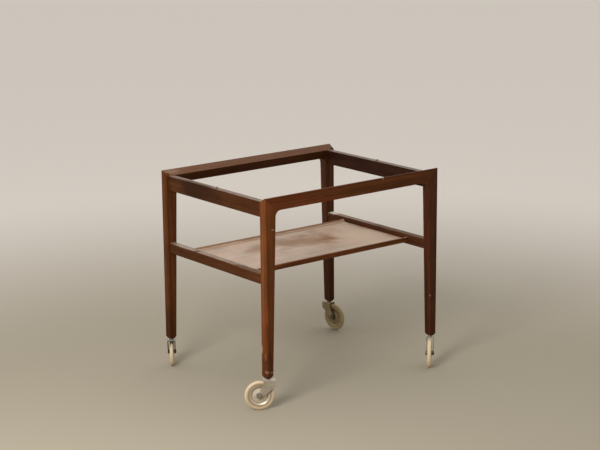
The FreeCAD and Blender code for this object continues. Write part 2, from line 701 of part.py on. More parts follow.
def make_wheel(corner):
    """The pieces on the axle, turned about their own Z axis."""
    outside = "fork_width / 2"
    rivet_end = f"({outside} + axle_head_height)"
    axle = turned(f"{corner}_axle", [
        ("0", f"-{rivet_end}"),
        ("axle_head_diameter / 2", f"-{rivet_end}"),
        ("axle_head_diameter / 2", f"-{outside}"),
        ("axle_diameter / 2", f"-{outside}"),
        ("axle_diameter / 2", outside),
        ("axle_head_diameter / 2", outside),
        ("axle_head_diameter / 2", rivet_end),
        ("0", rivet_end),
    ])
    hub_end = f"({FORK_INSIDE} - hub_play)"
    hub = turned(f"{corner}_hub_bush", [
        ("axle_diameter / 2 + axle_clearance", f"-{hub_end}"),
        ("hub_diameter / 2", f"-{hub_end}"),
        ("hub_diameter / 2", hub_end),
        ("axle_diameter / 2 + axle_clearance", hub_end),
    ])
    bead = "bead_width / 2"
    flank = "tyre_width / 2"
    tread = "wheel_diameter / 2"
    bead_foot = f"{TYRE_SEAT} - bead_depth"
    tyre = turned(f"{corner}_tyre", [
        (bead_foot, f"-{bead}"),
        (TYRE_SEAT, f"-{bead}"),
        (f"{TYRE_SEAT} + tyre_slope", f"-{flank}"),
        (tread, f"-{flank}"),
        (tread, flank),
        (f"{TYRE_SEAT} + tyre_slope", flank),
        (TYRE_SEAT, bead),
        (bead_foot, bead),
    ])
    nearly_tread = number(tread) - TOUCHING
    round_edges(tyre, f"{corner}_tyre_shoulders", "tyre_shoulder",
                lambda edge: isinstance(edge.Curve, Part.Circle) and edge.Curve.Radius > nearly_tread)
    discs = [make_disc(f"{corner}_outer_disc", -1), make_disc(f"{corner}_inner_disc", 1)]
    return [axle, hub, *discs, tyre]


def make_caster(corner, x_sign, y_sign):
    heading = f"swivel_{corner}"
    turn = FreeCAD.Rotation(Z_AXIS, number(heading))
    foot_x = f"{x_sign} * {FOOT_X}"
    foot_y = f"{y_sign} * {FOOT_Y}"
    for body in make_swivel(corner) + [make_fork(f"{corner}_fork")]:
        turn_to(body, (foot_x, foot_y, "0"), turn)
    axle_x = f"{foot_x} + caster_trail * cos({heading})"
    axle_y = f"{foot_y} + caster_trail * sin({heading})"
    upright = turn.multiply(FreeCAD.Rotation(X_AXIS, -90))
    for body in make_wheel(corner):
        turn_to(body, (axle_x, axle_y, AXLE_HEIGHT), upright)


for leg_face, face_sign in DEPTHWISE.items():
    make_long_rail(f"long_rail_{leg_face}", face_sign)
    for leg_side, side_sign in LENGTHWISE.items():
        make_leg(f"leg_{leg_face}_{leg_side}", side_sign, face_sign)
        make_caster(f"{leg_face}_{leg_side}", side_sign, face_sign)
for rail_side, side_sign in LENGTHWISE.items():
    make_end_rail(rail_side, side_sign)
    make_stretcher(rail_side, side_sign)
make_shelf()
make_hidden_joints()
doc.recompute()

# Every object has to be sound, and every cut has to remove something, before anything is written
for item in doc.Objects:
    if "Invalid" in item.State or "Error" in item.State:
        raise RuntimeError(f"{item.Label} failed: {item.State}")
    if item.TypeId.startswith("PartDesign::") and ("Subtractive" in item.TypeId or "Pocket" in item.TypeId):
        if item.Shape.Volume > item.BaseFeature.Shape.Volume - LEAST_CUT:
            raise RuntimeError(f"{item.Label} cuts nothing")
for item in sub_parts:
    if item.Shape.isNull() or not item.Shape.isValid():
        raise RuntimeError(f"{item.Label} has no sound shape")
os.makedirs("parts", exist_ok=True)
for item in sub_parts:
    item.Shape.exportStep(os.path.join("parts", item.Label + ".step"))
print(len(sub_parts), "sub-parts written")
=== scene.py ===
import json
import math

import bmesh
import bpy
from mathutils import Matrix, Vector
from mathutils import noise as lumps


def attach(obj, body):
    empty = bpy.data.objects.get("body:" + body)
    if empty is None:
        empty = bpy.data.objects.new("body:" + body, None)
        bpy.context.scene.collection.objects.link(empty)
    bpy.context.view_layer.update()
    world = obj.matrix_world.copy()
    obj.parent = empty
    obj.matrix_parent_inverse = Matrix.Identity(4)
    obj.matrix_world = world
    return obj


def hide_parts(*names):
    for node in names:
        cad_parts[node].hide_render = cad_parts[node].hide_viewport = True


# Looks of a tray table on casters: worn dark hardwood, aged plated casters with cream tyres.
# Metres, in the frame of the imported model. Radii, edges and the places of marks are in millimetres.

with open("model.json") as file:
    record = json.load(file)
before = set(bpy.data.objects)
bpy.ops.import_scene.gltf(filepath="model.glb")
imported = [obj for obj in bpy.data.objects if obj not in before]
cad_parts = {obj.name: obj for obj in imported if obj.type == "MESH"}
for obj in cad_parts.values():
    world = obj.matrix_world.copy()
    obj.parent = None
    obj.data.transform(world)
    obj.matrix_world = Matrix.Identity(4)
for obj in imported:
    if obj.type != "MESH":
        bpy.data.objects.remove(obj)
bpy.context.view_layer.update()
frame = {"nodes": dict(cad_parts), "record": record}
MM = 0.001
UP = Vector((0, 0, 1))
BODY_OF = {node: body for body, nodes in frame["record"]["behaviour"]["bodies"].items() for node in nodes}
JOINTS = {joint["name"]: joint for joint in frame["record"]["behaviour"]["joints"]}

# Camera, at the photograph's viewing angle
IMAGE_WIDTH = 600
SENSOR_WIDTH = 36.0
FOCAL_PIXELS = 1616.94
VIEW_AZIMUTH = math.radians(-38.48)
VIEW_ELEVATION = math.radians(13.7)
VIEW_ROLL = math.radians(-0.452)
CAMERA_PLACE = Vector((-2.6752, -3.3657, 1.4521))


def make_camera():
    data = bpy.data.cameras.new("camera")
    data.sensor_width = SENSOR_WIDTH
    data.lens = SENSOR_WIDTH * FOCAL_PIXELS / IMAGE_WIDTH
    camera = bpy.data.objects.new("camera", data)
    bpy.context.scene.collection.objects.link(camera)
    across = Vector((math.cos(VIEW_AZIMUTH), math.sin(VIEW_AZIMUTH), 0))
    back = Vector((math.sin(VIEW_AZIMUTH) * math.cos(VIEW_ELEVATION),
                   -math.cos(VIEW_AZIMUTH) * math.cos(VIEW_ELEVATION),
                   math.sin(VIEW_ELEVATION)))
    level = Matrix((across, back.cross(across), back)).transposed()
    turn = level @ Matrix.Rotation(VIEW_ROLL, 3, "Z")
    camera.matrix_world = Matrix.LocRotScale(CAMERA_PLACE, turn, None)
    bpy.context.scene.camera = camera


# Shader nodes
NOISE_LOW = 0.3
NOISE_HIGH = 0.7
BUMP_STRENGTH = 0.3


def put(tree, kind, inputs=(), **settings):
    """Adds a node. inputs maps a socket to a value or to the output that feeds it."""
    made = tree.nodes.new("ShaderNode" + kind)
    for name, value in settings.items():
        setattr(made, name, value)
    for name, value in dict(inputs).items():
        if isinstance(value, bpy.types.NodeSocket):
            tree.links.new(value, made.inputs[name])
        else:
            made.inputs[name].default_value = value
    return made


def maths(tree, operation, first, second=0.0, clamp=False):
    return put(tree, "Math", {0: first, 1: second}, operation=operation, use_clamp=clamp).outputs[0]


def scaled(tree, value, share):
    return maths(tree, "MULTIPLY", value, share)


def inverted(tree, value):
    return maths(tree, "SUBTRACT", 1.0, value)


def vector_maths(tree, operation, first, second, output=0):
    return put(tree, "VectorMath", {0: first, 1: second}, operation=operation).outputs[output]


def multiplied(tree, vector, share):
    """A vector or a colour times one number."""
    return put(tree, "VectorMath", {0: vector, "Scale": share}, operation="SCALE").outputs[0]


def length_of(tree, vector):
    return put(tree, "VectorMath", {0: vector}, operation="LENGTH").outputs["Value"]


def noise(tree, vector, scale, detail, roughness=0.5):
    inputs = {"Vector": vector, "Scale": scale, "Detail": detail, "Roughness": roughness}
    return put(tree, "TexNoise", inputs).outputs["Fac"]


def stretched_noise(tree, vector, along, across, detail, roughness=0.5):
    """Noise with its own scale along the grain and across it."""
    squeezed = vector_maths(tree, "MULTIPLY", vector, (along, across, across))
    return noise(tree, squeezed, 1.0, detail, roughness)


def ramp(tree, value, places, colours):
    """A colour ramp with one colour at each place."""
    made = put(tree, "ValToRGB", {"Fac": value})
    points = made.color_ramp.elements
    while len(points) < len(places):
        points.new(0.5)
    for point, place, colour in zip(points, places, colours):
        point.position = place
        point.color = (*colour, 1.0)
    return made.outputs["Color"]


def between(tree, value, low, high):
    """0 below low, 1 above high and smooth in between."""
    made = put(tree, "MapRange", {"Value": value, "From Min": low, "From Max": high},
               interpolation_type="SMOOTHSTEP")
    return made.outputs["Result"]


def spread(tree, value, low, high):
    """Takes the middle of a noise to the range from low to high."""
    inputs = {"Value": value, "From Min": NOISE_LOW, "From Max": NOISE_HIGH,
              "To Min": low, "To Max": high}
    return put(tree, "MapRange", inputs).outputs["Result"]


def blended(tree, share, first, second):
    """A colour mixed from two, each a colour or an output."""
    made = put(tree, "Mix", data_type="RGBA")
    sockets = [item for item in made.inputs if item.enabled]
    for target, value in zip(sockets, (share, first, second)):
        if isinstance(value, bpy.types.NodeSocket):
            tree.links.new(value, target)
        elif isinstance(value, float):
            target.default_value = value
        else:
            target.default_value = (*value, 1.0)
    return [item for item in made.outputs if item.enabled][0]


def toned(colour, *shares):
    """A colour with its parts scaled, all by one share or each by its own."""
    return tuple(part * shares[i % len(shares)] for i, part in enumerate(colour))


def new_material(name, **values):
    """A material with one Principled shader, whose plain values are set on its own sockets."""
    material = bpy.data.materials.new(name)
    material.use_nodes = True
    tree = material.node_tree
    shader = tree.nodes["Principled BSDF"]
    for socket, value in values.items():
        shader.inputs[socket.replace("_", " ")].default_value = value
    return material, tree, shader


def connect(tree, shader, colour, rough, relief, depth):
    """Feeds the shader its colour, its roughness and a relief of some depth in millimetres."""
    tree.links.new(colour, shader.inputs["Base Color"])
    tree.links.new(rough, shader.inputs["Roughness"])
    bump = put(tree, "Bump", {"Height": relief, "Strength": BUMP_STRENGTH, "Distance": depth * MM})
    tree.links.new(bump.outputs[0], shader.inputs["Normal"])


# Masks. A pair says where a mask starts and where it is full
BEVEL_WAY = (0.0, 0.555, 0.832)
EDGE_TURN = (0.02, 0.16)
LEVEL_FACES = (0.86, 0.98)
SLOPED_FACES = (0.65, 0.8)
INSIDE_FACES = (0.65, 0.85)
DUSTY_LIT_FACES = (0.8, 0.95)
# A patch: where it ends and how far its outline wanders, as shares of its reach
PATCH_END = 1.1
PATCH_RAGGED = 0.4


def facing(tree, way, low, high):
    """1 on faces that look a given way and 0 on the others."""
    normal = put(tree, "NewGeometry").outputs["Normal"]
    return between(tree, vector_maths(tree, "DOT_PRODUCT", normal, way, "Value"), low, high)


def on_edges(tree):
    """1 on the rounded edges between faces, whose directions are the three axes and the rails' bevel."""
    normal = put(tree, "NewGeometry").outputs["Normal"]
    size = put(tree, "VectorMath", {0: normal}, operation="ABSOLUTE").outputs[0]
    split = put(tree, "SeparateXYZ", {0: size})
    most = vector_maths(tree, "DOT_PRODUCT", size, BEVEL_WAY, "Value")
    for axis in "XYZ":
        most = maths(tree, "MAXIMUM", most, split.outputs[axis])
    return between(tree, inverted(tree, most), *EDGE_TURN)


def patch(tree, place, ragged, centre, reach, soft):
    """1 inside an uneven patch round a point, with its reach along each axis, in millimetres.

    soft is the share of the reach over which the patch fades out.
    """
    away = vector_maths(tree, "SUBTRACT", place, Vector(centre) * MM)
    away = vector_maths(tree, "MULTIPLY", away, tuple(1.0 / (part * MM) for part in reach))
    uneven = spread(tree, ragged, -PATCH_RAGGED, PATCH_RAGGED)
    length = maths(tree, "ADD", length_of(tree, away), uneven)
    return inverted(tree, between(tree, length, PATCH_END - soft, PATCH_END))


def axle(corner):
    """The middle of a wheel and the way its axle points."""
    joint = JOINTS[corner + "_roll"]
    return Vector(joint["pos_m"]), Vector(joint["axis"])


def from_axle(tree, place, corner):
    """Distance from a wheel's axle, in millimetres."""
    middle, axis = axle(corner)
    away = vector_maths(tree, "SUBTRACT", place, middle)
    along = vector_maths(tree, "DOT_PRODUCT", away, axis, "Value")
    away = vector_maths(tree, "SUBTRACT", away, multiplied(tree, axis, along))
    return maths(tree, "DIVIDE", length_of(tree, away), MM)


# Colours, in linear light: wood, its wear and marks, painted shade and light, then metal and rubber
LEG_TONES = ((0.070, 0.021, 0.005), (0.125, 0.039, 0.010), (0.185, 0.064, 0.019))
# Darker tones for pieces on the right: partly darker wood and partly painted shade
DARK_TONES = ((0.036, 0.0115, 0.0047), (0.066, 0.022, 0.0085), (0.102, 0.036, 0.0140))
# The shelf's tones are pale partly as a painted sheen of the light on its top
SHELF_TONES_AND_SHEEN = ((0.405, 0.285, 0.200), (0.465, 0.340, 0.248), (0.525, 0.395, 0.297))
DOWEL_TONES = ((0.26, 0.15, 0.07), (0.38, 0.24, 0.12), (0.48, 0.32, 0.17))
RED_SHIFT = (1.12, 0.82, 0.95)
# Pale tint of bleached wood, also painted as a sheen on tops
FADED_AND_SHEEN = (0.32, 0.22, 0.155)
WARM = (0.40, 0.245, 0.155)
RUBBED = (0.34, 0.19, 0.13)
# Pale tint of scuffs and chips, also used for painted highlights
SCUFF_AND_HIGHLIGHT = (0.60, 0.49, 0.39)
GRAZE = (0.42, 0.20, 0.15)
STAIN = (0.29, 0.155, 0.078)
SHADE = (0.030, 0.011, 0.005)
# Dark brown painted as shade on the front of the stretchers' tops
UMBER_SHADE = (0.130, 0.070, 0.042)
# Pale tint painted as light: sheen on the shelf, and light at the foot of the lips where shade falls
PALE_LIGHT = (0.60, 0.46, 0.355)
# Pale tint of a dusting, also painted as highlight on tops that look up
DUST_AND_HIGHLIGHT = (0.80, 0.76, 0.66)
# Dark tint of grime in pits, specks and round the hub, also painted as shade in the discs' valleys
GRIME_AND_SHADE = (0.050, 0.038, 0.020)
NICKEL = (0.54, 0.48, 0.385)
STEEL = (0.40, 0.39, 0.37)
BRASS = (0.48, 0.38, 0.26)
RUST_AND_SHADE = (0.25, 0.190, 0.100)
SOOT_AND_SHADE = (0.07, 0.055, 0.032)
# Tan painted as shade on the discs' rims
TAN_SHADE = (0.40, 0.31, 0.20)
CREAM = (0.61, 0.50, 0.345)
OLIVE_AND_SHADE = (0.40, 0.320, 0.165)

# Wood noises: scale along the grain, scale across it, detail and roughness
SWAY = (6.0, 18.0, 2.0)
STREAK = (2.2, 150.0, 4.0, 0.62)
BAND = (1.6, 46.0, 2.0)
FIBRE = (22.0, 1100.0, 3.0)
PORE = (55.0, 1900.0, 1.0)
RED_STREAK = (3.0, 30.0, 2.0)
RAGGED = (40.0, 160.0, 4.0, 0.65)
# Even noises: scale, detail and roughness
WOOD_CLOUD = (14.0, 3.0)
METAL_CLOUD = (70.0, 5.0, 0.6)
RUBBER_CLOUD = (60.0, 5.0, 0.6)
SPECK = (900.0, 2.0)
RUBBER_SPECK = (700.0, 3.0)

# Wood: how its noises become figure, colour, wear and relief
GRAIN_ORDER = {"X": "XYZ", "Y": "YXZ", "Z": "ZXY"}
SEED_STEP = (1.7, 0.31, 0.53)
SWAY_REACH = 0.012
STREAK_SHARE = 0.46
BAND_SHARE = 0.38
FIBRE_SHARE = 0.16
TONE_PLACES = (0.37, 0.5, 0.63)
CLOUD_LEVELS = (0.85, 1.12)
PORE_START = (0.66, 0.74)
PORE_SHARE = 0.5
PORE_LEVEL = 0.4
PORE_DEPTH = 0.7
SPECK_DEPTH = 0.3
RED_START = (0.45, 0.6)
FADED_AND_SHEEN_START = (0.3, 0.52)
SLOPE_START = (0.1, 0.5)
# Paler rounded edges: wear and a painted highlight
EDGE_START = (0.45, 0.66)
EDGE_SHARE = 0.35
EDGE_WEAR_AND_HIGHLIGHT = 1.7
WOOD_ROUGHNESS = (0.52, 0.42)
MARK_ROUGHNESS = 0.25
POLISH_ROUGHNESS = 0.38
WOOD_RELIEF = 0.2
FULLY_SOFT = 1.0


def wood(node, seed, grain, tones, level=1.0, gloss=0.0, faded_and_sheen=0.0, slope=0.0, slope_tint=RUBBED,
         specular=0.07, redness=0.6, soft=0.6, inside=(0, 0, 0), inside_shade=1.0, marks=()):
    """Oiled hardwood with its grain along one axis.

    tones are a dark, a middle and a light colour, and level scales them. gloss and faded_and_sheen are
    how far the faces that look up are polished, and made paler as bleached wood and as a painted sheen of
    the light on them, and slope is how far a sloped face takes a tint of its own. redness is how far some
    streaks turn to red. The faces that look to the inside are darkened by a level of their own, as
    painted shade. marks are patches, each with a tint, a centre, a reach and a share, some of them
    painted shade, highlight and sheen, and soft is how gently they fade out.
    """
    material, tree, shader = new_material(node + "_wood", Coat_Roughness=POLISH_ROUGHNESS,
                                          Specular_IOR_Level=specular)
    place = put(tree, "TexCoord").outputs["Object"]
    split = put(tree, "SeparateXYZ", {0: place})
    order = {i: split.outputs[axis] for i, axis in enumerate(GRAIN_ORDER[grain])}
    aligned = put(tree, "CombineXYZ", order).outputs[0]
    aligned = vector_maths(tree, "ADD", aligned, tuple(seed * step for step in SEED_STEP))
    sway = scaled(tree, stretched_noise(tree, aligned, *SWAY), SWAY_REACH)
    sway = put(tree, "CombineXYZ", {1: sway, 2: sway}).outputs[0]
    flowing = vector_maths(tree, "ADD", aligned, sway)
    streak = stretched_noise(tree, flowing, *STREAK)
    band = stretched_noise(tree, flowing, *BAND)
    fibre = stretched_noise(tree, flowing, *FIBRE)
    pore = between(tree, stretched_noise(tree, flowing, *PORE), *PORE_START)
    redder = between(tree, stretched_noise(tree, aligned, *RED_STREAK), *RED_START)
    ragged = stretched_noise(tree, aligned, *RAGGED)
    cloud = noise(tree, place, *WOOD_CLOUD)
    speck = noise(tree, place, *SPECK)

    # Figure and tone
    figure = maths(tree, "ADD", scaled(tree, streak, STREAK_SHARE), scaled(tree, band, BAND_SHARE))
    figure = maths(tree, "ADD", figure, scaled(tree, fibre, FIBRE_SHARE))
    low, middle, high = [toned(tone, level) for tone in tones]
    colour = ramp(tree, figure, TONE_PLACES, (low, middle, high))
    reddened = vector_maths(tree, "MULTIPLY", colour, RED_SHIFT)
    colour = blended(tree, scaled(tree, redder, redness), colour, reddened)
    colour = multiplied(tree, colour, spread(tree, cloud, *CLOUD_LEVELS))
    # Faces that look to the inside are darkened: painted shade
    if inside_shade != 1.0:
        side = scaled(tree, facing(tree, inside, *INSIDE_FACES), inside_shade - 1.0)
        colour = multiplied(tree, colour, maths(tree, "ADD", 1.0, side))
    colour = blended(tree, scaled(tree, pore, PORE_SHARE), colour, toned(low, PORE_LEVEL))

    # Wear on tops, slopes and edges, with a painted sheen on the tops and a painted highlight on the
    # edges
    upward = facing(tree, UP, *LEVEL_FACES)
    # Tops paler where worn: bleached, and a painted sheen of the light on them
    if faded_and_sheen:
        worn = maths(tree, "MULTIPLY", upward, between(tree, ragged, *FADED_AND_SHEEN_START))
        colour = blended(tree, scaled(tree, worn, faded_and_sheen), colour, FADED_AND_SHEEN)
    if slope:
        sloped = maths(tree, "MULTIPLY", facing(tree, UP, *SLOPED_FACES), inverted(tree, upward))
        worn = maths(tree, "MULTIPLY", sloped, between(tree, ragged, *SLOPE_START))
        colour = blended(tree, scaled(tree, worn, slope), colour, slope_tint)
    # Rounded edges paler: worn, and a painted highlight of the light on them
    edge = maths(tree, "MULTIPLY", on_edges(tree), between(tree, ragged, *EDGE_START))
    colour = blended(tree, scaled(tree, edge, EDGE_SHARE), colour, toned(high, EDGE_WEAR_AND_HIGHLIGHT))

    # Marks, which are dull
    rough = spread(tree, figure, *WOOD_ROUGHNESS)
    outline = cloud if soft == FULLY_SOFT else ragged
    dull = []
    for tint, centre, reach, share in marks:
        mask = scaled(tree, patch(tree, place, outline, centre, reach, soft), share)
        colour = blended(tree, mask, colour, tint)
        rough = maths(tree, "ADD", rough, scaled(tree, mask, MARK_ROUGHNESS), clamp=True)
        dull.append(mask)
    if gloss:
        polish = scaled(tree, upward, gloss)
        for mask in dull:
            polish = maths(tree, "MULTIPLY", polish, inverted(tree, mask))
        tree.links.new(polish, shader.inputs["Coat Weight"])
    relief = maths(tree, "SUBTRACT", fibre, scaled(tree, pore, PORE_DEPTH))
    relief = maths(tree, "ADD", relief, scaled(tree, speck, SPECK_DEPTH))
    connect(tree, shader, colour, rough, relief, WOOD_RELIEF)
    return material


# Metal: its clouds and pits
METAL_PLACES = (0.32, 0.62)
METAL_DARK = 0.72
PIT_START = (0.66, 0.76)
PIT_SHARE = 0.55
METAL_VARIES = 0.08
METAL_RELIEF = 0.1
# Radii round an axle between which a mask grows or fades, and how far they vary
HUB_END = (4.5, 12.0)
VALLEY_START = (17.5, 20.0)
VALLEY_END = (22.0, 24.5)
RIM_START = (25.0, 27.0)
RADIUS_VARIES = 1.5
HUB_GRIME = 0.75
GRIME_ROUGHNESS = 0.3
RIM_TAN_SHADE = 2.0


def metal(name, colour, finish, corner=None, valley=0.0, dust_and_highlight=0.0):
    """Aged plate, cloudy and pitted, and grimy round the axle on a caster.

    finish is its roughness and how metallic it is. valley is how dark a disc is in its valley, partly
    grimy and partly a painted shade, and half of how tan its rim is, as a painted shade, and
    dust_and_highlight is how pale a fork's top is, a dusting and a painted highlight.
    """
    roughness, metallic = finish
    material, tree, shader = new_material(name, Metallic=metallic)
    place = put(tree, "TexCoord").outputs["Object"]
    cloud = noise(tree, place, *METAL_CLOUD)
    pits = between(tree, noise(tree, place, *SPECK), *PIT_START)
    made = ramp(tree, cloud, METAL_PLACES, (toned(colour, METAL_DARK), colour))
    made = blended(tree, scaled(tree, pits, PIT_SHARE), made, GRIME_AND_SHADE)
    rough = spread(tree, cloud, roughness + METAL_VARIES, roughness - METAL_VARIES)
    # Tops that look up paler: a dusting, and a painted highlight of the light from above
    if dust_and_highlight:
        made = blended(tree, scaled(tree, facing(tree, UP, *DUSTY_LIT_FACES), dust_and_highlight), made, DUST_AND_HIGHLIGHT)
    if corner:
        varies = spread(tree, cloud, -RADIUS_VARIES, RADIUS_VARIES)
        radius = maths(tree, "ADD", from_axle(tree, place, corner), varies)
        hub = inverted(tree, between(tree, radius, *HUB_END))
        ring = maths(tree, "MULTIPLY", between(tree, radius, *VALLEY_START),
                     inverted(tree, between(tree, radius, *VALLEY_END)))
        # The rim is tinted tan as painted shade
        rim = between(tree, radius, *RIM_START)
        made = blended(tree, scaled(tree, rim, valley * RIM_TAN_SHADE), made, TAN_SHADE)
        # Dark round the hub where grimy, and dark in the valley, grimy and painted shade
        grime_and_shade = maths(tree, "MAXIMUM", scaled(tree, hub, HUB_GRIME), scaled(tree, ring, valley))
        made = blended(tree, grime_and_shade, made, GRIME_AND_SHADE)
        rough = maths(tree, "ADD", rough, scaled(tree, grime_and_shade, GRIME_ROUGHNESS), clamp=True)
    connect(tree, shader, made, rough, maths(tree, "SUBTRACT", cloud, pits), METAL_RELIEF)
    return material


# Rubber: its clouds and dirt
RUBBER_PLACES = (0.34, 0.58)
YELLOWED = (0.88, 0.82, 0.72)
DIRT_START = (0.62, 0.76)
DIRT_SHARE = 0.4
RUBBER_ROUGHNESS = (0.58, 0.44)
RUBBER_SPECULAR = 0.35
RUBBER_RELIEF = 0.1
# Radii on a tyre between which a mask grows or fades, with its share and tone
SEAT_END = (29.0, 33.5)
SEAT_SHARE = 0.75
SEAT_TAN_SHADE = (0.72, 0.60, 0.48)
TREAD_START = (33.5, 38.0)
TREAD_SHARE = 0.7
TREAD_LEVEL = 1.3


def rubber(name, colour, corner):
    """Old cream rubber, yellowed in patches, dirty in specks, darker and tan by the disc as a painted
    shade and paler on the tread.
    """
    material, tree, shader = new_material(name, Specular_IOR_Level=RUBBER_SPECULAR)
    place = put(tree, "TexCoord").outputs["Object"]
    cloud = noise(tree, place, *RUBBER_CLOUD)
    speck = noise(tree, place, *RUBBER_SPECK)
    made = ramp(tree, cloud, RUBBER_PLACES, (toned(colour, *YELLOWED), colour))
    radius = from_axle(tree, place, corner)
    seat = inverted(tree, between(tree, radius, *SEAT_END))
    tread = between(tree, radius, *TREAD_START)
    dirt = between(tree, speck, *DIRT_START)
    # Darker and tan by the disc: painted shade
    made = blended(tree, scaled(tree, seat, SEAT_SHARE), made, toned(colour, *SEAT_TAN_SHADE))
    made = blended(tree, scaled(tree, tread, TREAD_SHARE), made, toned(colour, TREAD_LEVEL))
    made = blended(tree, scaled(tree, dirt, DIRT_SHARE), made, GRIME_AND_SHADE)
    connect(tree, shader, made, spread(tree, cloud, *RUBBER_ROUGHNESS), speck, RUBBER_RELIEF)
    return material


# Pieces that stand in for CAD nodes, with softer edges
WELD = 1e-6
FLAT_ANGLE = math.radians(0.6)
SHARP_ANGLE = math.radians(28)
CUT_STEP = 14 * MM
WANDER = 0.12 * MM
WANDER_SCALE = 0.6
ROUND = 0.5


def softened(node, width, steps=2, shortest=0.0):
    """The node's mesh with its sharp edges rounded over, apart from those shorter than shortest."""
    bm = bmesh.new()
    bm.from_mesh(frame["nodes"][node].data)
    bmesh.ops.remove_doubles(bm, verts=bm.verts, dist=WELD)
    bmesh.ops.dissolve_limit(bm, angle_limit=FLAT_ANGLE, verts=bm.verts, edges=bm.edges)
    sharp = [edge for edge in bm.edges if edge.calc_face_angle(0.0) > SHARP_ANGLE]
    for edge in sharp:
        edge.smooth = edge.calc_length() >= shortest * MM
    rounded = [edge for edge in sharp if edge.smooth]
    bmesh.ops.bevel(bm, geom=rounded, offset=width * MM, offset_type="OFFSET", segments=steps,
                    profile=ROUND, affect="EDGES", clamp_overlap=False)
    return bm


def wear(bm, grain):
    """Cuts a wooden piece across its grain and lets its surface wander inwards by a little."""
    axis = "XYZ".index(grain)
    way = Vector([float(i == axis) for i in range(3)])
    places = [vert.co[axis] for vert in bm.verts]
    count = int((max(places) - min(places)) / CUT_STEP)
    for i in range(1, count):
        middle = min(places) + (max(places) - min(places)) * i / count
        bmesh.ops.bisect_plane(bm, geom=bm.verts[:] + bm.edges[:] + bm.faces[:], dist=WELD,
                               plane_co=way * middle, plane_no=way)
    bm.normal_update()
    for vert in bm.verts:
        share = 0.5 + 0.5 * lumps.noise(vert.co / CUT_STEP * WANDER_SCALE)
        vert.co -= vert.normal * WANDER * share


# Tyre: outer radius, middle of its flanks, seat and bead, then half widths
TYRE_RADIUS = 38.99
FLANK_RADIUS = 34.2
SEAT_RADIUS = 29.4
BEAD_RADIUS = 26.0
HALF_TYRE = 5.25
HALF_BEAD = 3.2
FLANK_STEPS = 7
TURN_STEPS = 120

# Pressed disc: radius and place along the axle, from the hub out to the rim and back
DISC = ((6.0, 3.0), (8.0, 3.0), (18.2, 0.0), (21.8, 0.0), (26.2, 3.2), (29.2, 3.2),
        (29.2, 4.4), (25.6, 4.4), (21.2, 1.2), (18.2, 1.2), (8.0, 4.2), (6.0, 4.2))
# Its bends: how far one reaches, at most which share of the way to the next corner, and its steps
BEND_REACH = 0.9
BEND_SHARE = 0.45
BEND_STEPS = 3


def tyre_profile():
    """Radius and half width from the bead out to the tread, and back on the other side."""
    points = [(BEAD_RADIUS, HALF_BEAD)]
    for i in range(FLANK_STEPS + 1):
        angle = math.pi / 2 * i / FLANK_STEPS
        points.append((FLANK_RADIUS - (FLANK_RADIUS - SEAT_RADIUS) * math.cos(angle),
                       HALF_BEAD + (HALF_TYRE - HALF_BEAD) * math.sin(angle)))
    for i in range(1, FLANK_STEPS + 1):
        angle = math.pi / 2 * i / FLANK_STEPS
        points.append((FLANK_RADIUS + (TYRE_RADIUS - FLANK_RADIUS) * math.sin(angle),
                       HALF_TYRE * math.cos(angle)))
    return points + [(radius, -width) for radius, width in reversed(points[:-1])]


def disc_profile(corner, part):
    """A disc's profile on its own side of the wheel, with each corner eased into a soft bend."""
    centre, axis = axle(corner)
    reach = [(vert.co - centre).dot(axis) for vert in frame["nodes"][f"{corner}_{part}"].data.vertices]
    side = math.copysign(1.0, sum(reach))
    corners = [Vector((radius, side * place)) for radius, place in DISC]
    points = []
    for i, middle in enumerate(corners):
        arms = [corners[i - 1] - middle, corners[(i + 1) % len(corners)] - middle]
        trim = min([BEND_REACH] + [arm.length * BEND_SHARE for arm in arms])
        start, end = [middle + arm.normalized() * trim for arm in arms]
        for step in range(BEND_STEPS + 1):
            share = step / BEND_STEPS
            points.append(start * (1 - share) ** 2 + middle * 2 * share * (1 - share) + end * share ** 2)
    return points


def turned(corner, profile):
    """A closed profile turned about a wheel's axle."""
    middle, axis = axle(corner)
    level = axis.cross(UP)
    bm = bmesh.new()
    rings = []
    for i in range(TURN_STEPS):
        angle = 2 * math.pi * i / TURN_STEPS
        spoke = UP * math.cos(angle) + level * math.sin(angle)
        rings.append([bm.verts.new(middle + (spoke * radius + axis * width) * MM)
                      for radius, width in profile])
    for i, here in enumerate(rings):
        there = rings[(i + 1) % TURN_STEPS]
        for j in range(len(profile)):
            following = (j + 1) % len(profile)
            bm.faces.new((here[j], here[following], there[following], there[j]))
    bmesh.ops.recalc_face_normals(bm, faces=bm.faces)
    return bm


def stand_in(node, bm, material):
    """Turns a mesh into a piece that rides in a CAD node's place."""
    mesh = bpy.data.meshes.new(node + "_worn")
    bm.to_mesh(mesh)
    bm.free()
    mesh.shade_smooth()
    mesh.materials.append(material)
    piece = bpy.data.objects.new(node + "_worn", mesh)
    bpy.context.scene.collection.objects.link(piece)
    normals = piece.modifiers.new("even_normals", "WEIGHTED_NORMAL")
    normals.mode = "FACE_AREA_WITH_ANGLE"
    normals.keep_sharp = True
    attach(piece, BODY_OF[node])
    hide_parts(node)


def dress(node, material):
    """Gives a CAD node that stays its material."""
    piece = frame["nodes"][node]
    piece.data.materials.clear()
    piece.data.materials.append(material)


